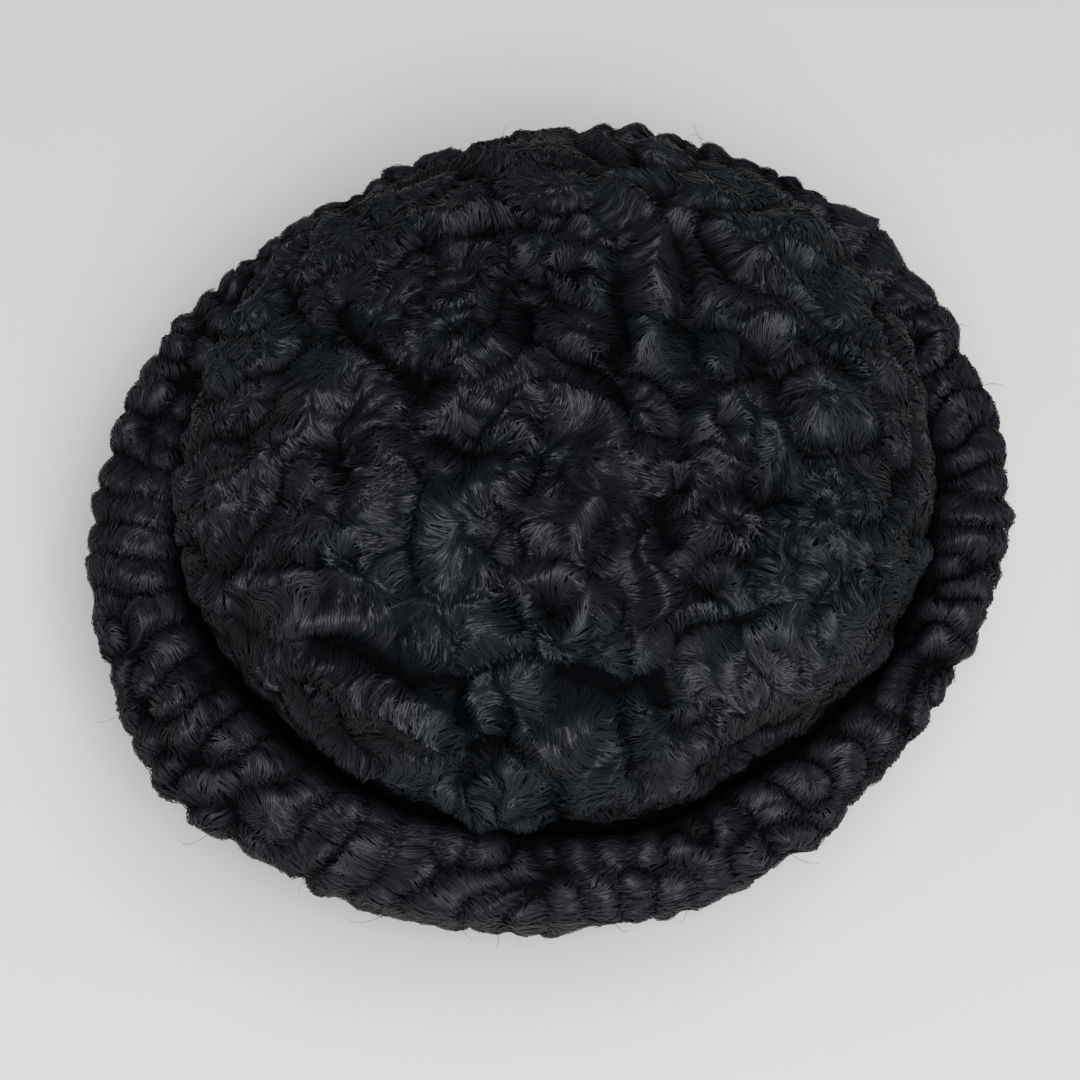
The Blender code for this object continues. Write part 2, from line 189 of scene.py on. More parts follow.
# Main swells and valleys of the crown's pelt, as on its solid. The middle, half length and
# half width are shares of the crown's radius, and the rise is a share of SWELL_HEIGHT.
SWELL_COLUMNS = ("east", "north", "half_length", "half_width", "turn_deg", "rise")
SWELLS = (
    (-0.22, 0.14, 0.17, 0.14, 20, 0.7),
    (-0.42, 0.11, 0.22, 0.07, -51, -0.8),
    (-0.09, 0.00, 0.20, 0.08, 17, 0.6),
    (-0.21, 0.44, 0.23, 0.09, 0, 0.8),
    (0.22, 0.45, 0.18, 0.09, -75, 0.9),
    (0.17, 0.14, 0.13, 0.07, 90, -0.8),
    (0.07, -0.31, 0.14, 0.10, 40, 0.7),
    (-0.05, -0.58, 0.12, 0.11, 0, 0.5),
    (0.38, -0.38, 0.15, 0.12, 0, 0.7),
    (0.33, -0.14, 0.12, 0.11, 30, 0.5),
    (0.36, -0.62, 0.17, 0.07, 19, -0.8),
    (-0.45, -0.65, 0.32, 0.07, -24, -1.0),
    (0.20, -0.73, 0.24, 0.07, 12, -1.0),
    (-0.42, -0.79, 0.20, 0.11, -30, 0.9),
    (0.02, -0.86, 0.17, 0.11, 0, 0.8),
    (0.57, -0.70, 0.17, 0.12, 45, 0.9),
    (-0.83, -0.25, 0.12, 0.08, 60, 0.5),
    (-0.53, -0.27, 0.16, 0.12, 10, 0.7),
    (-0.24, -0.45, 0.14, 0.11, -10, 0.5),
    (0.68, -0.02, 0.14, 0.11, 80, 0.6),
    (0.75, -0.32, 0.12, 0.10, 70, 0.5),
    (-0.14, 0.68, 0.22, 0.10, 0, 0.6),
    (0.53, 0.52, 0.16, 0.11, -45, 0.6),
    (-0.62, 0.40, 0.16, 0.10, 50, 0.5),
)
SWELL_HEIGHT = 0.0045

# Curls. The heights of CREST and VALLEY are shares of a curl's height.
GRID = 0.0005  # step of the flat maps
CURL_HEIGHT = 0.0050
EVEN_SHARE = 0.85  # share of a curl's height at which the even surface lies
DEEPEST = 0.0047  # creases stay this near the even surface, inside the wall
SHADED_RELIEF = 1.6  # locks shade as if the curls were this many times as high
STEEPEST = 0.05  # least cosine between a shading normal and the even surface's own
COMB_BLUR = 0.0018  # the hair's direction is evened out over this radius
CREST = 1.3
VALLEY = -0.3
CROWN_WAVE = 0.0340  # two curls of the crown side by side
CROWN_LEAN = 0.0045  # how far a curl of the crown leans over, for its full height
EDGE_SINK = 0.0026  # how much closer the crown's pelt lies near its edge
PIPE_WAVE = 0.0220  # two pipe curls of the side wall side by side
PIPE_LEAN = 0.0030
WALL_SINK = 0.0013  # how much closer the side wall's pelt lies
FRONT_SINK = 0.0014  # and how much more at the front
FINE_WAVE = 0.0045  # small unevenness all over

# Locks of hair
CROWN_LOCKS = 62000
BAND_LOCKS = 66000
LOOSE_HAIRS = 80
LOCK_LENGTH = (0.0075, 0.0120)
LOCK_WIDTH = (0.00040, 0.00065)  # a lock of some hundred hairs, the finest that shows
LOCK_PLACES = (0, 0.22, 0.5, 0.78, 1)  # shares of a lock's length where it has its points
LOCK_WIDTHS = (0, 0.45, 0.5, 0.45, 0)  # half widths there, as shares of the lock's width
LOCK_LIFTS = (0.2, 0.85, 1, 0.85, 0.2)  # and heights there, as shares of the lock's lift
LOCK_LIFT = 0.0007  # the highest locks stand this far over the lowest
TIP_TUCK = (0.0010, 0, -0.0002, 0, 0.0010)  # how far a lock goes under the pelt there
CREASE_TUCK = 0.0010  # how much deeper the locks lie in the creases
LOCK_ROUNDING = 0.35  # how far a lock's shading turns away at its sides
UNDER_LOCKS = 0.0003  # the skins lie this far under the surface that the locks follow

TURNS = 720
AZIMUTHS = np.arange(TURNS) * 2 * math.pi / TURNS
SKIN_ROWS = 260
BAND_TURN = 2 * math.pi * 0.1190  # width of the side wall's flat map


def outline_share(azimuth, field):
    """A column of OUTLINE at any azimuth, eased from row to row by half a cosine wave."""
    place = np.interp(np.degrees(azimuth) % 360, OUTLINE[:, 0], np.arange(len(OUTLINE)))
    before = np.minimum(place.astype(int), len(OUTLINE) - 2)
    ease = 0.5 - 0.5 * np.cos(math.pi * (place - before))
    return OUTLINE[before, field] * (1 - ease) + OUTLINE[before + 1, field] * ease


def plan(azimuth):
    """Radii at an azimuth: head opening, crown edge, groove and roll."""
    turned = azimuth - OVAL_TURN
    oval = 1 / np.hypot(np.cos(turned) / (1 + OVALITY), np.sin(turned) / (1 - OVALITY))
    edge = CROWN_RADIUS * oval * (1 + outline_share(azimuth, 1))
    roll = WALL + ROLL_CORE * (1 + outline_share(azimuth, 2))
    return HEAD_RADIUS * oval, edge, edge - EDGE_OVERHANG, roll


def band_section(azimuth):
    """Radius and height of the side wall's curly side, hem to seam, one column an azimuth."""
    head, _, groove, roll = plan(azimuth)
    hem = head + WALL
    rim = groove + 2 * roll
    level = np.linspace(0, 1, 60)[:-1, None]
    angle = np.linspace(0, math.pi, 60)[:, None]
    radius = np.vstack((
        hem + (rim - hem) * (1 - (1 - level) ** FLARE_ROUNDING),
        groove + roll * (1 + np.cos(angle)),
        groove,
    ))
    height = np.vstack((
        RIM_HEIGHT * level + 0 * azimuth,
        RIM_HEIGHT + roll * np.sin(angle),
        SEAM_HEIGHT + 0 * azimuth,
    ))
    return radius, height


def band_lining(azimuth):
    """Radius and height of the side wall's smooth side, seam to hem."""
    head, _, groove, roll = plan(azimuth)
    rim = groove + 2 * roll
    angle = np.linspace(math.pi, 0, 7)[:, None]
    core = roll - WALL - (SEAM_WALL - WALL) * np.clip(2 * angle / math.pi - 1, 0, 1)
    level = np.array((0.75, 0.5, 0.25, 0))[:, None]
    radius = np.vstack((
        groove + SEAM_WALL,
        groove + roll + core * np.cos(angle),
        head + (rim - WALL - head) * (1 - (1 - level) ** FLARE_ROUNDING),
    ))
    height = np.vstack((
        SEAM_HEIGHT + 0 * azimuth,
        RIM_HEIGHT + core * np.sin(angle),
        RIM_HEIGHT * level + 0 * azimuth,
    ))
    return radius, height


def dome(azimuth, angle, inset):
    """Radius and height of the dome at an angle up from its edge."""
    _, edge, _, roll = plan(azimuth)
    level = RIM_HEIGHT + roll + EDGE_RISE
    mean_level = (RIM_HEIGHT + plan(AZIMUTHS)[3] + EDGE_RISE).mean()
    radius = (edge - inset) * np.abs(np.cos(angle)) ** CROWN_FULLNESS
    height = level * (1 - np.sin(angle)) + (mean_level + CROWN_RISE - inset) * np.sin(angle)
    return radius, height


def crown_section(azimuth):
    """Radius and height of the crown's curly side, top to seam, one column an azimuth."""
    _, edge, groove, roll = plan(azimuth)
    seam = groove - SEAM_GAP
    angle = np.linspace(math.pi / 2, 0, 90)[:, None]
    radius, height = dome(azimuth, angle, 0)
    leave = np.arccos(np.clip((seam - edge + EDGE_RADIUS) / EDGE_RADIUS, 0, 1))
    turn = -leave * np.linspace(0, 1, 8)[1:, None]
    radius = np.vstack((radius, edge + EDGE_RADIUS * (np.cos(turn) - 1), seam, seam))
    height = np.vstack((
        height,
        RIM_HEIGHT + roll + EDGE_RISE + EDGE_RADIUS * np.sin(turn),
        RIM_HEIGHT + 0 * seam,
        SEAM_HEIGHT + 0 * seam,
    ))
    return radius, height


def crown_lining(azimuth):
    """Radius and height of the crown's smooth side, top to seam."""
    radius, height = dome(azimuth, np.linspace(math.pi / 2, 0, 9)[:, None], WALL)
    seam = plan(azimuth)[2] - SEAM_GAP - SEAM_WALL
    return np.vstack((radius, seam)), np.vstack((height, SEAM_HEIGHT + 0 * seam))


def even_rows(radius, height, count):
    """A section with its points at even steps of its own length, and its mean length."""
    step = np.hypot(np.diff(radius, axis=0), np.diff(height, axis=0))
    length = np.vstack((0 * step[:1], np.cumsum(step, axis=0)))
    share = length / length[-1]
    wanted = np.linspace(0, 1, count)
    columns = range(radius.shape[1])
    even_radius = [np.interp(wanted, share[:, i], radius[:, i]) for i in columns]
    even_height = [np.interp(wanted, share[:, i], height[:, i]) for i in columns]
    return np.array(even_radius).T, np.array(even_height).T, length[-1].mean()


def wrap(azimuth, radius, height):
    """Points of a section's columns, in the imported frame."""
    return np.stack((radius * np.cos(azimuth), radius * np.sin(azimuth), height), axis=-1) + SHIFT


def hat_middle():
    """How far the form's own axis stands from the middle of its box, which the frame uses."""
    radius, _ = band_section(AZIMUTHS[None, :])
    points = np.stack((radius * np.cos(AZIMUTHS), radius * np.sin(AZIMUTHS)))
    middle = (points.max(axis=(1, 2)) + points.min(axis=(1, 2))) / 2
    low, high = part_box("side_band")
    return np.array(((low[0] + high[0]) / 2 - middle[0], (low[1] + high[1]) / 2 - middle[1], 0))


def bilinear(table, row, column, periodic):
    """Values of a table at fractional rows and columns."""
    rows, columns = table.shape[:2]
    row = np.clip(row, 0, rows - 1.001)
    above = row.astype(int)
    if periodic:
        left = np.floor(column).astype(int)
    else:
        column = np.clip(column, 0, columns - 1.001)
        left = column.astype(int)
    down = row - above
    over = column - left
    right = (left + 1) % columns
    left = left % columns
    if table.ndim == 3:
        down = down[..., None]
        over = over[..., None]
    first = table[above, left] * (1 - over) + table[above, right] * over
    second = table[above + 1, left] * (1 - over) + table[above + 1, right] * over
    return first * (1 - down) + second * down


def frequencies(shape):
    """Waves per metre of each cell of a map's transform, along its rows and its columns."""
    return np.meshgrid(np.fft.fftfreq(shape[1], GRID), np.fft.fftfreq(shape[0], GRID))


def blur(field, radius):
    """A map with each point spread as a Gaussian of that radius."""
    across, along = frequencies(field.shape)
    keep = np.exp(-2 * (math.pi * radius) ** 2 * (across ** 2 + along ** 2))
    return np.fft.ifft2(np.fft.fft2(field) * keep).real


def filtered_noise(shape, keep, seed):
    """Seeded white noise with only the waves that keep lets through, at a deviation of 1."""
    white = np.random.default_rng(seed).standard_normal(shape)
    noise = np.fft.ifft2(np.fft.fft2(white) * keep).real
    return noise / noise.std()


def round_waves(shape, wave, spread, seed):
    """Noise of one wavelength in every direction."""
    across, along = frequencies(shape)
    size = np.hypot(across, along)
    return filtered_noise(shape, np.exp(-((size * wave - 1) / spread) ** 2 / 2), seed)


def pipe_waves(shape, wave, spread, bend, seed):
    """Noise of one wavelength along the rows, whose crests run down the columns."""
    across, along = frequencies(shape)
    off_wave = (np.abs(across) * wave - 1) / spread
    off_row = along * wave / bend
    return filtered_noise(shape, np.exp(-off_wave ** 2 / 2 - off_row ** 2 / 2), seed)


def slow_waves(shape, wave, seed):
    """Noise of long waves only."""
    across, along = frequencies(shape)
    return filtered_noise(shape, np.exp(-((across ** 2 + along ** 2) * wave ** 2) / 2), seed)


def curl_profile(noise, gap):
    """Round curls with creases where the noise changes sign.

    Each is a quarter circle from the crease up to its top: sqrt(x (2 - x)), where x is the
    size of the noise past the gap.
    """
    share = np.clip((np.abs(noise) - gap) / 1.25, 0, 1)
    return np.sqrt(share * (2 - share))


def path_distance(east, north, points):
    """Distance of each place of a map to a line through points."""
    nearest = np.full(east.shape, np.inf)
    if len(points) == 1:
        return np.hypot(east - points[0][0], north - points[0][1])
    for start, end in zip(points, points[1:]):
        run = end - start
        share = ((east - start[0]) * run[0] + (north - start[1]) * run[1]) / (run @ run)
        share = np.clip(share, 0, 1)
        away = np.hypot(east - start[0] - share * run[0], north - start[1] - share * run[1])
        nearest = np.minimum(nearest, away)
    return nearest


def swell_rise(points):
    """Height of the crown's main swells: the sum of SWELLS, each a turned oval Gaussian bump."""
    east, north = points[..., 0] / CROWN_RADIUS, points[..., 1] / CROWN_RADIUS
    total = np.zeros_like(east)
    for row in SWELLS:
        swell = dict(zip(SWELL_COLUMNS, row))
        turn = math.radians(swell["turn_deg"])
        away_east, away_north = east - swell["east"], north - swell["north"]
        along = away_east * math.cos(turn) + away_north * math.sin(turn)
        across = away_north * math.cos(turn) - away_east * math.sin(turn)
        spread = (along / swell["half_length"]) ** 2 + (across / swell["half_width"]) ** 2
        total += swell["rise"] * np.exp(-spread)
    return SWELL_HEIGHT * total


class Pelt:
    """A flat map of a pelt with its curls, and the points and normals it wraps to."""

    def __init__(self, low, shape, curls, swells, extra_turn, lean, skin, periodic):
        self.low = low
        self.curls = curls
        self.periodic = periodic
        rows, columns = np.meshgrid(np.arange(shape[0]), np.arange(shape[1]), indexing="ij")
        east = low[0] + columns * GRID
        north = low[1] + rows * GRID
        _, normal, fade = skin(east, north)
        self.fade = fade
        # Painted shade: where this is low, in the creases and where the curls fade, the hair is
        # drawn darker and less glossy
        self.painted_shade_crest = curls * fade
        height = ((curls - EVEN_SHARE) * CURL_HEIGHT + swells) * fade
        height = np.where(height < 0, DEEPEST * np.tanh(height / DEEPEST), height)
        rise_along = np.gradient(curls, axis=0)
        rise_across = np.gradient(curls, axis=1)
        double_cos = blur(rise_across ** 2 - rise_along ** 2, COMB_BLUR)
        double_sin = blur(2 * rise_across * rise_along, COMB_BLUR)
        size = np.hypot(double_cos, double_sin) + 1e-9
        self.turns = np.stack((double_cos / size, double_sin / size), axis=-1) + extra_turn
        points, _, _ = skin(east + lean[0] * fade, north + lean[1] * fade)
        self.points = points + normal * height[..., None]
        steep = points + normal * (SHADED_RELIEF * height)[..., None]
        raised = np.cross(np.gradient(steep, axis=1), np.gradient(steep, axis=0))
        raised /= np.linalg.norm(raised, axis=-1, keepdims=True) + 1e-12
        facing = (raised * normal).sum(axis=-1, keepdims=True)
        mixed = np.where(facing > STEEPEST, raised, raised + (STEEPEST - facing) * normal)
        self.normals = mixed / np.linalg.norm(mixed, axis=-1, keepdims=True)

    def at(self, table, places):
        """Values of one of the map's tables at places."""
        column = (places[..., 0] - self.low[0]) / GRID
        row = (places[..., 1] - self.low[1]) / GRID
        return bilinear(table, row, column, self.periodic)

    def heading(self, places):
        """Direction of the hair: over the curls, from crease to crease."""
        double = self.at(self.turns, places)
        angle = np.arctan2(double[..., 1], double[..., 0]) / 2
        return np.stack((np.cos(angle), np.sin(angle)), axis=-1)


SHIFT = hat_middle()
CROWN_R, CROWN_Z, PELT_RADIUS = even_rows(*crown_section(AZIMUTHS[None, :]), SKIN_ROWS)
BAND_R, BAND_Z, PELT_DEPTH = even_rows(*band_section(AZIMUTHS[None, :]), SKIN_ROWS)


def skin_normals(points, outward):
    """Unit normals of a table of points by rows and azimuths."""
    around = np.roll(points, -1, axis=1) - np.roll(points, 1, axis=1)
    along = np.gradient(points, axis=0)
    normal = np.cross(around, along) * outward
    size = np.linalg.norm(normal, axis=-1, keepdims=True)
    return np.where(size > 1e-9, normal / np.maximum(size, 1e-9), (0, 0, 1))


CROWN_SKIN = wrap(AZIMUTHS, CROWN_R, CROWN_Z)
CROWN_NORMALS = skin_normals(CROWN_SKIN, -1)
BAND_SKIN = wrap(AZIMUTHS, BAND_R, BAND_Z)
BAND_NORMALS = skin_normals(BAND_SKIN, 1)


def above_edge(azimuth, points):
    """Height of points of the crown over its edge."""
    return points[..., 2] - (RIM_HEIGHT + plan(azimuth)[3] + EDGE_RISE)


def crown_skin(east, north):
    """Points and normals of the crown over its flat map, and how full the curls are there."""
    row = np.hypot(east, north) / PELT_RADIUS * (SKIN_ROWS - 1)
    azimuth = np.arctan2(north, east)
    column = azimuth / (2 * math.pi) * TURNS
    points = bilinear(CROWN_SKIN, row, column, True)
    # Towards the edge and down into the groove the curls fade, and the hair there is painted
    # darker with them: painted shade
    fade = np.interp(above_edge(azimuth, points), (-0.0055, -0.0018), (0.10, 1))
    return points, bilinear(CROWN_NORMALS, row, column, True), fade


def band_skin(around, up):
    """Points and normals of the side wall over its flat map, and how full the curls are there."""
    share = up / PELT_DEPTH
    row = share * (SKIN_ROWS - 1)
    column = around / BAND_TURN * TURNS
    points = bilinear(BAND_SKIN, row, column, True)
    # The curls fade at the hem and down the roll's inner side into the groove, and the hair there
    # is painted darker with them: painted shade
    fade = np.interp(share, (0, 0.03, 0.81, 0.88), (0.6, 1, 1, 0.1))
    return points, bilinear(BAND_NORMALS, row, column, True), fade


def make_crown_pelt():
    """The crown's pelt: round curls of its own, with the charted curls laid over them."""
    reach = int(PELT_RADIUS / GRID) + 6
    shape = (2 * reach + 1, 2 * reach + 1)
    low = (-reach * GRID, -reach * GRID)
    axis = np.arange(-reach, reach + 1) * GRID
    east, north = np.meshgrid(axis, axis)
    broad = curl_profile(round_waves(shape, CROWN_WAVE, spread=0.25, seed=11), gap=0.06)
    narrow = curl_profile(round_waves(shape, 0.5 * CROWN_WAVE, spread=0.25, seed=16), gap=0.06)
    curls = 0.82 * broad + 0.18 * narrow
    # Its own curls are flatter within some 6 mm of the charted crests and valleys
    away = np.full(shape, np.inf)
    for form, _, points in CURLS:
        if form != "rosette":
            away = np.minimum(away, path_distance(east, north, np.array(points) * PELT_RADIUS))
    calm = 0.65 * np.exp(-(away / 0.006) ** 2)
    curls = curls * (1 - calm) + 0.6 * calm
    turn = np.zeros(shape + (2,))
    crest = np.zeros(shape)
    valley = np.zeros(shape)
    for form, half_width, points in CURLS:
        points = np.array(points) * PELT_RADIUS
        half_width = half_width / 1000
        away = path_distance(east, north, points)
        if form == "rosette":
            share = away / half_width
            ring = np.sin(math.pi * np.clip(share, 0, 1) ** 1.25)
            weight = np.clip(2.4 - 2.2 * share, 0, 1)
            curls = curls * (1 - weight) + (0.15 + 0.95 * ring) * weight
            angle = np.arctan2(north - points[0][1], east - points[0][0])
            turn[..., 0] += 3 * weight * np.cos(2 * angle)
            turn[..., 1] += 3 * weight * np.sin(2 * angle)
        elif form == "crest":
            crest = np.maximum(crest, np.exp(-(away / half_width) ** 2))
        else:
            valley = np.maximum(valley, np.exp(-(away / (0.6 * half_width)) ** 1.5))
    curls = curls * (1 - crest) + CREST * crest
    curls = curls * (1 - valley) + VALLEY * valley
    curls = curls * (1 + 0.12 * slow_waves(shape, 0.020, seed=12))
    curls += 0.04 * round_waves(shape, FINE_WAVE, spread=0.3, seed=13)
    angle = math.pi * slow_waves(shape, 0.045, seed=14)
    lean = np.stack((np.cos(angle), np.sin(angle)))
    lean = CROWN_LEAN * (np.clip(curls, 0, 1.05) - 0.6) * lean
    points, _, _ = crown_skin(east, north)
    lean *= np.clip((above_edge(np.arctan2(north, east), points) + 0.003) / 0.009, 0, 1)
    swells = swell_rise(points - SHIFT) * np.clip((points[..., 2] - 0.093) / 0.02, 0, 1)
    swells += 0.0007 * slow_waves(shape, 0.030, seed=15)
    # The pelt lies closer at the crown's edge, and opens the groove, but not at the front
    share = np.hypot(east, north) / PELT_RADIUS
    front = np.exp(-((np.arctan2(north, east) + math.pi / 2) / 0.5) ** 2)
    swells -= EDGE_SINK * np.clip((share - 0.66) / 0.12, 0, 1) * (1 - 0.9 * front)
    return Pelt(low, shape, curls, swells, turn, lean, crown_skin, periodic=False)


def make_band_pelt():
    """The side wall's pelt: pipe curls side by side that run up it and over the roll."""
    shape = (int(PELT_DEPTH / GRID) + 1, int(round(BAND_TURN / GRID)))
    waves = pipe_waves(shape, PIPE_WAVE, spread=0.28, bend=0.40, seed=21)
    waves += 0.36 * round_waves(shape, PIPE_WAVE, spread=0.3, seed=22)
    curls = blur(curl_profile(waves, gap=0.12), 0.0004)
    curls = curls * (1 + 0.12 * slow_waves(shape, 0.020, seed=23))
    curls += 0.03 * round_waves(shape, FINE_WAVE, spread=0.3, seed=24)
    # At the front the creases are filled a little and the pelt lies closer
    azimuth = np.arange(shape[1]) * 2 * math.pi / shape[1]
    front = np.exp(-((azimuth - 1.5 * math.pi) / 0.6) ** 2)
    curls = 1 - (1 - curls) * (1 - 0.15 * front)
    side = np.tanh(2 * slow_waves(shape, 0.040, seed=25))
    up = 0.2 * slow_waves(shape, 0.040, seed=26)
    lean = PIPE_LEAN * (curls - 0.6) * np.stack((side, up))
    swells = 0.0006 * slow_waves(shape, 0.030, seed=27) - WALL_SINK - FRONT_SINK * front
    # In places the hair runs up the wall, in others over the curls
    upright = np.clip(slow_waves(shape, 0.014, seed=28), -0.3, 1.4)
    turn = np.stack((-0.7 * upright, 0.5 * slow_waves(shape, 0.016, seed=29)), axis=-1)
    return Pelt((0, 0), shape, curls, swells, turn, lean, band_skin, periodic=True)


def turned(heading, angle):
    """Flat headings turned by angles."""
    cos, sin = np.cos(angle), np.sin(angle)
    return np.stack((
        heading[..., 0] * cos - heading[..., 1] * sin,
        heading[..., 0] * sin + heading[..., 1] * cos,
    ), axis=-1)


def comb(pelt, seeds, length, rng):
    """Five places along each lock, combed both ways from its seed over the curls."""
    bend = rng.normal(0, 0.10, len(seeds))
    start = turned(pelt.heading(seeds), rng.normal(0, 0.10, len(seeds)))
    strands = [seeds]
    for way in (1, -1):
        place, heading = seeds, start * way
        reached = []
        for reach in np.diff(LOCK_PLACES[2:]):
            wanted = pelt.heading(place)
            wanted *= np.sign((wanted * heading).sum(axis=-1, keepdims=True))
            heading = turned(0.6 * wanted + 0.4 * heading, bend * way)
            heading /= np.linalg.norm(heading, axis=-1, keepdims=True)
            place = place + heading * (length * reach)[:, None]
            reached.append(place)
        strands = strands + reached if way == 1 else reached[::-1] + strands
    return np.stack(strands, axis=1)


# The eight points of a lock: their place along it and their side of it, then its faces
LOCK_CORNERS = ((0, 0), (1, -1), (1, 1), (2, -1), (2, 1), (3, -1), (3, 1), (4, 0))
LOCK_FACES = ((0, 2, 1), (1, 2, 4, 3), (3, 4, 6, 5), (5, 6, 7))


def lock_points(pelt, seeds, rng):
    """Eight points a lock, with shading normals, pattern coordinates and place on the curl.

    A lock is a ribbon along its strand, pointed at both ends and widest at its middle. Its tips
    go under the curls, but not by the seam, where the pelt is thin. Its normals turn away at its
    two sides, so that it shades as if round.
    """
    count = len(seeds)
    length = rng.uniform(*LOCK_LENGTH, count)
    length *= np.clip(0.5 + 0.6 * pelt.at(pelt.curls, seeds), 0.5, 1)
    width = rng.uniform(*LOCK_WIDTH, count)
    strand = comb(pelt, seeds, length, rng)
    centre = pelt.at(pelt.points, strand)
    normal = pelt.at(pelt.normals, strand)
    normal /= np.linalg.norm(normal, axis=-1, keepdims=True)
    curls = pelt.at(pelt.curls, strand)
    lift = rng.uniform(0, LOCK_LIFT, count)[:, None] * np.array(LOCK_LIFTS)
    tuck = np.array(TIP_TUCK) + CREASE_TUCK * np.clip(1 - curls / 0.4, 0, 1)
    lift = lift - tuck * pelt.at(pelt.fade, strand)
    centre = centre + normal * lift[..., None]
    side = np.cross(np.gradient(centre, axis=1), normal)
    side /= np.linalg.norm(side, axis=-1, keepdims=True) + 1e-12
    half = width[:, None] * np.array(LOCK_WIDTHS)
    offset = rng.uniform(0, 1, (count, 2))
    points = np.empty((count, 8, 3))
    shading = np.empty((count, 8, 3))
    pattern = np.empty((count, 8, 2))
    for corner, (ring, across) in enumerate(LOCK_CORNERS):
        reach = across * half[:, ring]
        points[:, corner] = centre[:, ring] + reach[:, None] * side[:, ring]
        shading[:, corner] = normal[:, ring] + LOCK_ROUNDING * across * side[:, ring]
        pattern[:, corner] = offset + np.stack((reach, length * LOCK_PLACES[ring]), axis=-1)
    points[..., 2] = np.maximum(points[..., 2], 0.0002)
    shading /= np.linalg.norm(shading, axis=-1, keepdims=True)
    # Each point's curl height, which paints shade on the hair in the creases
    crest = pelt.at(pelt.painted_shade_crest, strand)[:, [ring for ring, _ in LOCK_CORNERS]]
    return points, shading, pattern, crest


def copied_faces(pattern_faces, points_each, count):
    """Corner numbers and corner counts of one set of faces, copied for each lock."""
    corners = np.concatenate([np.array(face) for face in pattern_faces])
    sizes = np.array([len(face) for face in pattern_faces])
    offsets = np.arange(count)[:, None] * points_each
    return (offsets + corners[None, :]).ravel(), np.tile(sizes, count)


def build_mesh(name, points, corners, sizes, pattern, materials, face_material=None):
    """A smooth mesh object from flat arrays, with its pattern coordinates."""
    mesh = bpy.data.meshes.new(name)
    mesh.vertices.add(len(points))
    mesh.vertices.foreach_set("co", np.ascontiguousarray(points, dtype=np.float32).ravel())
    mesh.loops.add(len(corners))
    mesh.loops.foreach_set("vertex_index", corners.astype(np.int32))
    mesh.polygons.add(len(sizes))
    starts = np.concatenate(([0], np.cumsum(sizes)[:-1])).astype(np.int32)
    mesh.polygons.foreach_set("loop_start", starts)
    mesh.polygons.foreach_set("loop_total", sizes.astype(np.int32))
    if face_material is not None:
        mesh.polygons.foreach_set("material_index", face_material.astype(np.int32))
    mesh.update(calc_edges=True)
    mesh.validate()
    if pattern is not None:
        layer = mesh.uv_layers.new(name="pattern")
        layer.data.foreach_set("uv", pattern[corners].astype(np.float32).ravel())
    mesh.shade_smooth()
    for material in materials:
        mesh.materials.append(material)
    piece = bpy.data.objects.new(name, mesh)
    bpy.context.scene.collection.objects.link(piece)
    return piece


def fleece(name, pelt, seeds, seed, material):
    """One piece of the fleece: a lock on each seed."""
    points, shading, pattern, crest = lock_points(pelt, seeds, np.random.default_rng(seed))
    corners, sizes = copied_faces(LOCK_FACES, 8, len(seeds))
    piece = build_mesh(
        name, points.reshape(-1, 3), corners, sizes, pattern.reshape(-1, 2), [material]
    )
    piece.data.normals_split_custom_set_from_vertices(shading.reshape(-1, 3))
    # The crest attribute drives the painted shade of the hair in the creases
    layer = piece.data.attributes.new("crest", "FLOAT", "POINT")
    layer.data.foreach_set("value", crest.astype(np.float32).ravel())
    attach(piece, "root")


def scattered(pelt, count, low, high, inside, rng):
    """Seeds spread evenly over a map, thinner in the creases, in random order."""
    area = (high[0] - low[0]) * (high[1] - low[1])
    tries = int(count * 2.6)
    side = math.sqrt(area / tries)
    columns = int((high[0] - low[0]) / side)
    rows = int((high[1] - low[1]) / side)
    across, along = np.meshgrid(np.arange(columns), np.arange(rows))
    places = np.stack((across.ravel(), along.ravel()), axis=-1).astype(float)
    places = low + (places + rng.uniform(0, 1, places.shape)) * side
    places = places[inside(places)]
    curls = pelt.at(pelt.curls, places)
    weight = np.clip(0.2 + 0.8 * curls, 0.2, 1)
    kept = np.argsort(-rng.uniform(0, 1, len(places)) ** (1 / weight))[:count]
    return places[rng.permutation(kept)]


def stitch(before, after):
    """Faces between two rings of point numbers, of equal counts or one twice the other."""
    if len(before) == len(after):
        return [
            (before[i - 1], before[i], after[i], after[i - 1]) for i in range(len(before))
        ]
    if len(before) < len(after):
        return [tuple(reversed(face)) for face in stitch(after, before)]
    step = len(before) // len(after)
    faces = []
    for i, tip in enumerate(after):
        for k in range(step):
            faces.append((before[i * step + k], before[(i * step + k + 1) % len(before)], tip))
        if len(after) > 1:
            faces.append((before[(i + 1) * step % len(before)], after[(i + 1) % len(after)], tip))
    return faces


def skin_piece(name, rings, fur_gaps, joined, materials):
    """A closed skin from rings of points. Its gaps from ring to ring in fur_gaps are curly."""
    numbers, count = [], 0
    for ring in rings:
        numbers.append(list(range(count, count + len(ring))))
        count += len(ring)
    faces, sides = [], []
    pairs = list(zip(numbers, numbers[1:])) + ([(numbers[-1], numbers[0])] if joined else [])
    for place, (before, after) in enumerate(pairs):
        added = stitch(before, after)
        faces += added
        sides += [0 if place in fur_gaps else 1] * len(added)
    corners = np.concatenate([np.array(face) for face in faces])
    sizes = np.array([len(face) for face in faces])
    piece = build_mesh(name, np.vstack(rings), corners, sizes, None, materials, np.array(sides))
    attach(piece, "root")
    return piece


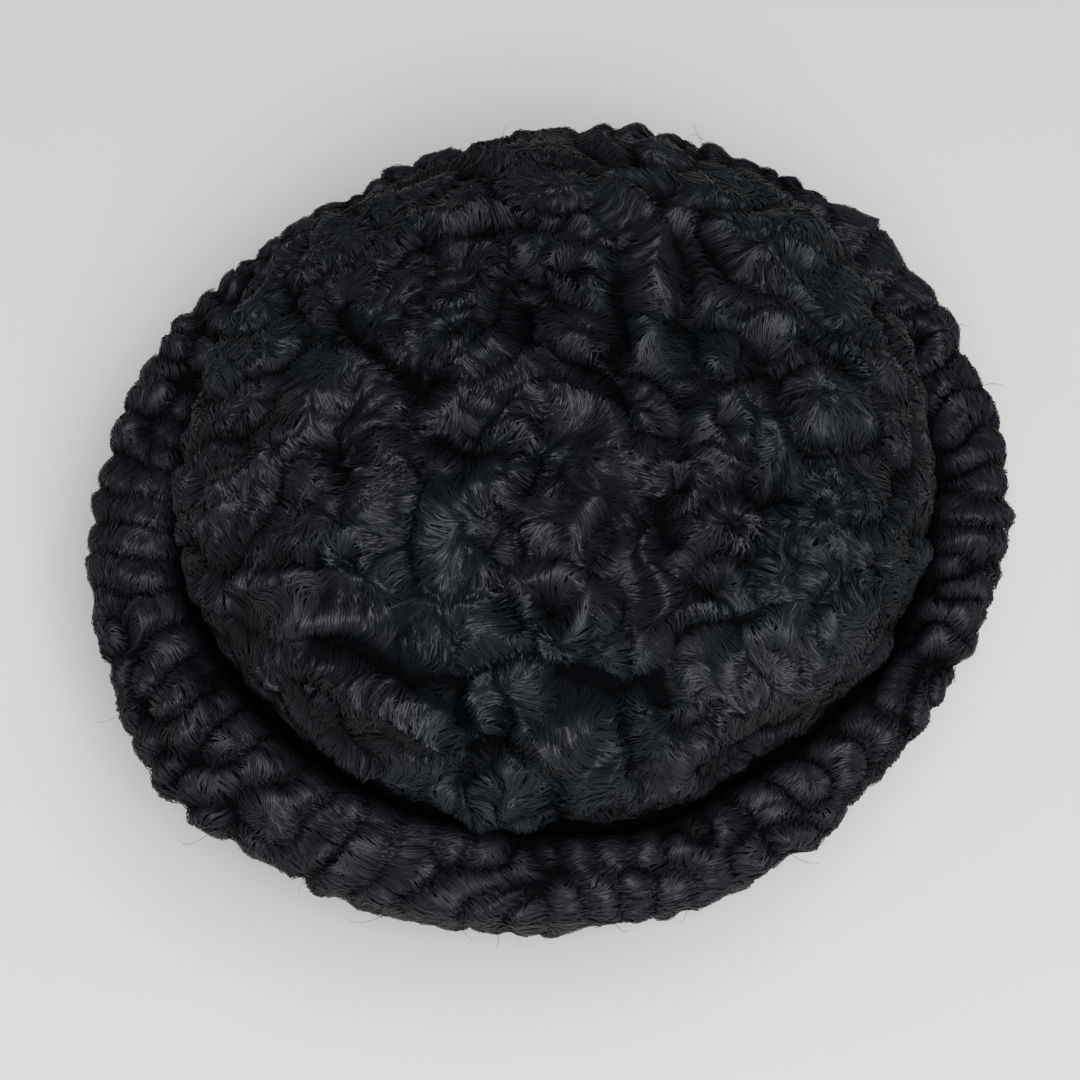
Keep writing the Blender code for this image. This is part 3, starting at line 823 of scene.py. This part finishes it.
def make_band_skin(pelt, materials):
    """The side wall's skin: its curls from hem to seam, and its smooth back down to the hem."""
    columns = 540
    azimuth = np.arange(columns) * 2 * math.pi / columns
    around = azimuth / (2 * math.pi) * BAND_TURN
    rings = []
    for up in np.linspace(0, 1, 84):
        places = np.stack((around, up * PELT_DEPTH + 0 * azimuth), axis=-1)
        ring = pelt.at(pelt.points, places) - UNDER_LOCKS * pelt.at(pelt.normals, places)
        ring[:, 2] = np.maximum(ring[:, 2], 0)
        rings.append(ring)
    fur_gaps = range(len(rings) - 1)
    rings[0][:, 2] = 0
    radius, height = band_lining(azimuth[None, :])
    rings += list(wrap(azimuth, radius, height))
    piece = skin_piece("band_skin", rings, fur_gaps, True, materials)
    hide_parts("side_band")


def make_crown_skin(pelt, materials):
    """The crown's skin: its smooth back down from the top to the seam, and its curls up again."""
    rings = []
    for share in np.linspace(1, 0, 96)[:-1]:
        columns = 480 if share > 0.4 else 240 if share > 0.2 else 120 if share > 0.08 else 30
        azimuth = np.arange(columns) * 2 * math.pi / columns
        places = share * PELT_RADIUS * np.stack((np.cos(azimuth), np.sin(azimuth)), axis=-1)
        rings.append(pelt.at(pelt.points, places) - UNDER_LOCKS * pelt.at(pelt.normals, places))
    rings.append(pelt.at(pelt.points, np.zeros((1, 2))))
    azimuth = np.arange(240) * 2 * math.pi / 240
    back = list(wrap(azimuth, *crown_lining(azimuth[None, :])))
    back[0] = back[0].mean(axis=0, keepdims=True)
    rings = back + rings
    fur_gaps = range(len(back), len(rings))
    piece = skin_piece("crown_skin", rings, fur_gaps, False, materials)
    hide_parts("crown")


def linear(colour):
    """A hex colour of the screen as linear red, green, blue and a full alpha."""
    shares = [int(colour[i:i + 2], 16) / 255 for i in (1, 3, 5)]
    return (*[s / 12.92 if s <= 0.04045 else ((s + 0.055) / 1.055) ** 2.4 for s in shares], 1)


def add_node(tree, kind, inputs=None, **settings):
    """A node with its settings, and its inputs set to values or linked to other sockets."""
    node = tree.nodes.new(kind)
    for setting, value in settings.items():
        setattr(node, setting, value)
    for socket, value in (inputs or {}).items():
        if isinstance(value, bpy.types.NodeSocket):
            tree.links.new(value, node.inputs[socket])
        else:
            node.inputs[socket].default_value = value
    return node


def new_material(name, roughness):
    """A named material with its shader and output."""
    material = bpy.data.materials.new(name)
    material.use_nodes = True
    tree = material.node_tree
    shader = tree.nodes["Principled BSDF"]
    shader.inputs["Roughness"].default_value = roughness
    return material, tree, shader


def hair_material(name, cool, warm):
    """Karakul lamb's hair, dyed black and combed flat into its curls.

    The eye sees a black with cooler and warmer patches, silky on the crests of the curls and dull
    down in their creases, which are darkened by painted shade, with fine streaks the way the hair
    runs.
    """
    material, tree, shader = new_material(name, 0.46)
    place = add_node(tree, "ShaderNodeTexCoord")
    # The dye takes a little differently over patches some 45 mm across
    slow = add_node(tree, "ShaderNodeTexNoise", {
        "Vector": place.outputs["Object"], "Scale": 1 / 0.045, "Detail": 2.0,
    })
    tint = add_node(tree, "ShaderNodeMapRange", {
        "Value": slow.outputs["Fac"], "From Min": 0.40, "From Max": 0.60,
    })
    black = add_node(tree, "ShaderNodeMix", {
        "Factor": tint.outputs["Result"], "A": linear(cool), "B": linear(warm),
    }, data_type="RGBA")
    # Each lock lies at a random place of this pattern, and so has its own depth of black
    apart = add_node(tree, "ShaderNodeTexNoise", {
        "Vector": place.outputs["UV"], "Scale": 1 / 0.02, "Detail": 0.0,
    })
    own_tone = add_node(tree, "ShaderNodeMapRange", {
        "Value": apart.outputs["Fac"],
        "From Min": 0.3, "From Max": 0.7, "To Min": 0.6, "To Max": 1.5,
    })
    # Painted shade: down in the creases, where the neighbouring hair shades it, the hair's colour
    # and sheen are painted lower
    crest = add_node(tree, "ShaderNodeAttribute", attribute_name="crest")
    crease_shade = add_node(tree, "ShaderNodeMapRange", {
        "Value": crest.outputs["Fac"],
        "From Min": 0.1, "From Max": 1.0, "To Min": 0.1, "To Max": 1.0,
    })
    tone_and_shade = add_node(tree, "ShaderNodeMath", {
        0: own_tone.outputs["Result"], 1: crease_shade.outputs["Result"],
    }, operation="MULTIPLY")
    toned = add_node(tree, "ShaderNodeVectorMath", {
        0: black.outputs[2], "Scale": tone_and_shade.outputs["Value"],
    }, operation="SCALE")
    tree.links.new(toned.outputs["Vector"], shader.inputs["Base Color"])
    own_gloss = add_node(tree, "ShaderNodeMapRange", {
        "Value": apart.outputs["Fac"],
        "From Min": 0.3, "From Max": 0.7, "To Min": 0.57, "To Max": 0.47,
    })
    root_dullness = add_node(tree, "ShaderNodeMapRange", {
        "Value": crest.outputs["Fac"],
        "From Min": 0.1, "From Max": 0.9, "To Min": 0.25, "To Max": 0.0,
    })
    dullness = add_node(tree, "ShaderNodeMath", {
        0: own_gloss.outputs["Result"], 1: root_dullness.outputs["Result"],
    }, operation="ADD")
    tree.links.new(dullness.outputs["Value"], shader.inputs["Roughness"])
    shader.inputs["Specular IOR Level"].default_value = 0.40
    # Painted shade: the hair's sheen is turned down in the creases
    crease_sheen_shade = add_node(tree, "ShaderNodeMapRange", {
        "Value": crest.outputs["Fac"],
        "From Min": 0.15, "From Max": 1.10, "To Min": 0.05, "To Max": 0.55,
    })
    tree.links.new(crease_sheen_shade.outputs["Result"], shader.inputs["Specular IOR Level"])
    shader.inputs["Specular Tint"].default_value = linear("#e0e1eb")
    # A hair is 0.03 mm thick, too fine to show, so its streaks are drawn 0.3 mm wide
    stretched = add_node(tree, "ShaderNodeVectorMath", {
        0: place.outputs["UV"], 1: (1 / 0.00030, 1 / 0.0045, 1),
    }, operation="MULTIPLY")
    streaks = add_node(tree, "ShaderNodeTexNoise", {
        "Vector": stretched.outputs["Vector"], "Scale": 1.0, "Detail": 2.0, "Roughness": 0.6,
    })
    bump = add_node(tree, "ShaderNodeBump", {
        "Height": streaks.outputs["Fac"], "Distance": 0.00012, "Strength": 0.45,
    })
    tree.links.new(bump.outputs["Normal"], shader.inputs["Normal"])
    return material


def skin_material():
    """Underwool: the short wool at the roots, felted and dyed black with the hair.

    It gives the gaps between the locks a dull ground that is nearly black, with almost no sheen:
    partly the wool's own black, partly painted shade between the locks.
    """
    material, tree, shader = new_material("karakul_underwool", 0.9)
    # Painted shade in part: the underwool is darker and far less glossy than the hair
    shader.inputs["Specular IOR Level"].default_value = 0.03
    shader.inputs["Base Color"].default_value = linear("#040507")
    place = add_node(tree, "ShaderNodeTexCoord")
    # Tufts of felt are about 0.8 mm across
    felt = add_node(tree, "ShaderNodeTexNoise", {
        "Vector": place.outputs["Object"], "Scale": 1 / 0.0008, "Detail": 3.0,
    })
    bump = add_node(tree, "ShaderNodeBump", {
        "Height": felt.outputs["Fac"], "Distance": 0.0003, "Strength": 0.7,
    })
    tree.links.new(bump.outputs["Normal"], shader.inputs["Normal"])
    return material


def back_material():
    """Suede: the flesh side of the pelt, tanned, brushed and dyed.

    It looks soft, dull and faintly patchy, with a fine grain.
    """
    material, tree, shader = new_material("pelt_suede_back", 0.88)
    place = add_node(tree, "ShaderNodeTexCoord")
    # The nap's own grain is 0.2 mm, too fine to show, so it is drawn 1.2 mm wide
    grain = add_node(tree, "ShaderNodeTexNoise", {
        "Vector": place.outputs["Object"], "Scale": 1 / 0.0012, "Detail": 5.0,
    })
    patches = add_node(tree, "ShaderNodeTexNoise", {
        "Vector": place.outputs["Object"], "Scale": 1 / 0.03, "Detail": 3.0,
    })
    colour = add_node(tree, "ShaderNodeMix", {
        "Factor": patches.outputs["Fac"], "A": linear("#161618"), "B": linear("#2a2929"),
    }, data_type="RGBA")
    tree.links.new(colour.outputs[2], shader.inputs["Base Color"])
    bump = add_node(tree, "ShaderNodeBump", {
        "Height": grain.outputs["Fac"], "Distance": 0.0003, "Strength": 0.5,
    })
    tree.links.new(bump.outputs["Normal"], shader.inputs["Normal"])
    return material


def make_loose_hairs(crown_pelt, band_pelt, material):
    """Single hairs that stand off the fleece: thin tapered tubes along a curved arc."""
    rng = np.random.default_rng(71)
    sides, rows = 3, 8
    angle = np.arange(sides) * 2 * math.pi / sides
    all_points = []
    for number in range(LOOSE_HAIRS):
        on_crown = number % 2 == 0
        pelt = crown_pelt if on_crown else band_pelt
        if on_crown:
            turn, out = rng.uniform(0, 2 * math.pi), PELT_RADIUS * rng.uniform(0.2, 0.84)
            place = np.array((out * math.cos(turn), out * math.sin(turn)))
        else:
            place = np.array((rng.uniform(0, BAND_TURN), PELT_DEPTH * rng.uniform(0.3, 0.85)))
        root = pelt.at(pelt.points, place[None, :])[0]
        up = pelt.at(pelt.normals, place[None, :])[0]
        along = np.cross(up, rng.normal(0, 1, 3))
        along /= np.linalg.norm(along)
        length = rng.uniform(0.005, 0.011)
        rise = rng.uniform(0.15, 0.7) * length
        share = np.linspace(0, 1, rows)[:, None]
        curl = np.cross(up, along) * length * rng.uniform(-0.5, 0.5)
        line = root + along * length * share + up * rise * np.sin(2.2 * share) + curl * share ** 2
        thick = rng.uniform(0.00005, 0.00008) * (1 - 0.7 * share)
        across = np.cross(up, along)
        ring = np.cos(angle)[None, :, None] * across + np.sin(angle)[None, :, None] * up
        all_points.append(line[:, None, :] + ring * thick[:, :, None])
    points = np.array(all_points).reshape(-1, 3)
    faces = []
    for row in range(rows - 1):
        for k in range(sides):
            near, far = row * sides + k, row * sides + (k + 1) % sides
            faces.append((near, far, far + sides, near + sides))
    faces += [(2, 1, 0), ((rows - 1) * sides, (rows - 1) * sides + 1, (rows - 1) * sides + 2)]
    corners, sizes = copied_faces(faces, rows * sides, LOOSE_HAIRS)
    pattern = np.zeros((len(points), 2))
    piece = build_mesh("loose_hairs", points, corners, sizes, pattern, [material])
    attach(piece, "root")


def make_floor():
    """A plain pale floor in matte paint, which scatters light evenly."""
    material, _, shader = new_material("matte_floor_paint", 0.8)
    shader.inputs["Base Color"].default_value = linear("#cdccca")
    mesh = bpy.data.meshes.new("floor")
    reach = 12.0
    corners = [(-reach, -reach, 0), (reach, -reach, 0), (reach, reach, 0), (-reach, reach, 0)]
    mesh.from_pydata(corners, [], [(0, 1, 2, 3)])
    mesh.materials.append(material)
    floor = bpy.data.objects.new("floor", mesh)
    bpy.context.scene.collection.objects.link(floor)


def add_light(name, place, target, size, power):
    """A square soft light aimed at a point."""
    light = bpy.data.lights.new(name, "AREA")
    light.size = size
    light.energy = power
    lamp = bpy.data.objects.new(name, light)
    lamp.location = place
    lamp.rotation_euler = (Vector(target) - Vector(place)).to_track_quat("-Z", "Y").to_euler()
    bpy.context.scene.collection.objects.link(lamp)


def make_studio():
    """The floor, soft light from above the front and right of it, and a pale surround."""
    make_floor()
    hat = (0, 0, 0.08)
    add_light("key_softbox", place=(0.27, -1.80, 2.73), target=hat, size=2.0, power=112)
    add_light("fill_softbox", place=(0.54, -0.54, 3.18), target=hat, size=2.2, power=32)
    world = bpy.data.worlds.new("pale_surround")
    world.use_nodes = True
    background = world.node_tree.nodes["Background"]
    background.inputs["Color"].default_value = linear("#e2e9f4")
    background.inputs["Strength"].default_value = 0.14
    bpy.context.scene.world = world
    bpy.context.scene.view_settings.view_transform = "Standard"


def make_camera():
    """The photograph's view: from the front, 62 degrees above the table."""
    camera = bpy.data.cameras.new("camera")
    camera.sensor_width = 36
    camera.lens = 72.13
    holder = bpy.data.objects.new("camera", camera)
    holder.location = (-0.0003, -0.29735, 0.60229)
    aim = Vector((-0.00306, -0.01514, 0.075)) - Vector(holder.location)
    holder.rotation_euler = aim.to_track_quat("-Z", "Y").to_euler()
    bpy.context.scene.collection.objects.link(holder)
    bpy.context.scene.camera = holder


def main():
    """The camera and the studio, then the skins, the fleece and the loose hairs."""
    make_camera()
    make_studio()
    crown_pelt = make_crown_pelt()
    band_pelt = make_band_pelt()
    underwool = skin_material()
    back = back_material()
    make_crown_skin(crown_pelt, [underwool, back])
    make_band_skin(band_pelt, [underwool, back])
    crown_hair = hair_material("karakul_crown_hair", "#091114", "#0e0e13")
    # The side wall's hair is the crown's hair drawn a little lighter: partly its own greyer look,
    # partly painted light
    side_hair = hair_material("karakul_side_hair", "#0f1217", "#141319")
    rng = np.random.default_rng(41)
    reach = 0.925 * PELT_RADIUS
    crown_seeds = scattered(
        crown_pelt, CROWN_LOCKS, np.array((-reach, -reach)), np.array((reach, reach)),
        lambda places: np.hypot(places[:, 0], places[:, 1]) < reach, rng,
    )
    for part, seeds in enumerate(np.array_split(crown_seeds, 2)):
        name = f"crown_fleece_{part + 1}"
        fleece(name, crown_pelt, seeds, 50 + part, crown_hair)
    band_seeds = scattered(
        band_pelt, BAND_LOCKS, np.array((0, 0.002)), np.array((BAND_TURN, 0.93 * PELT_DEPTH)),
        lambda places: places[:, 1] > 0, rng,
    )
    for part, seeds in enumerate(np.array_split(band_seeds, 2)):
        name = f"band_fleece_{part + 1}"
        fleece(name, band_pelt, seeds, 60 + part, side_hair)
    make_loose_hairs(crown_pelt, band_pelt, side_hair)


main()
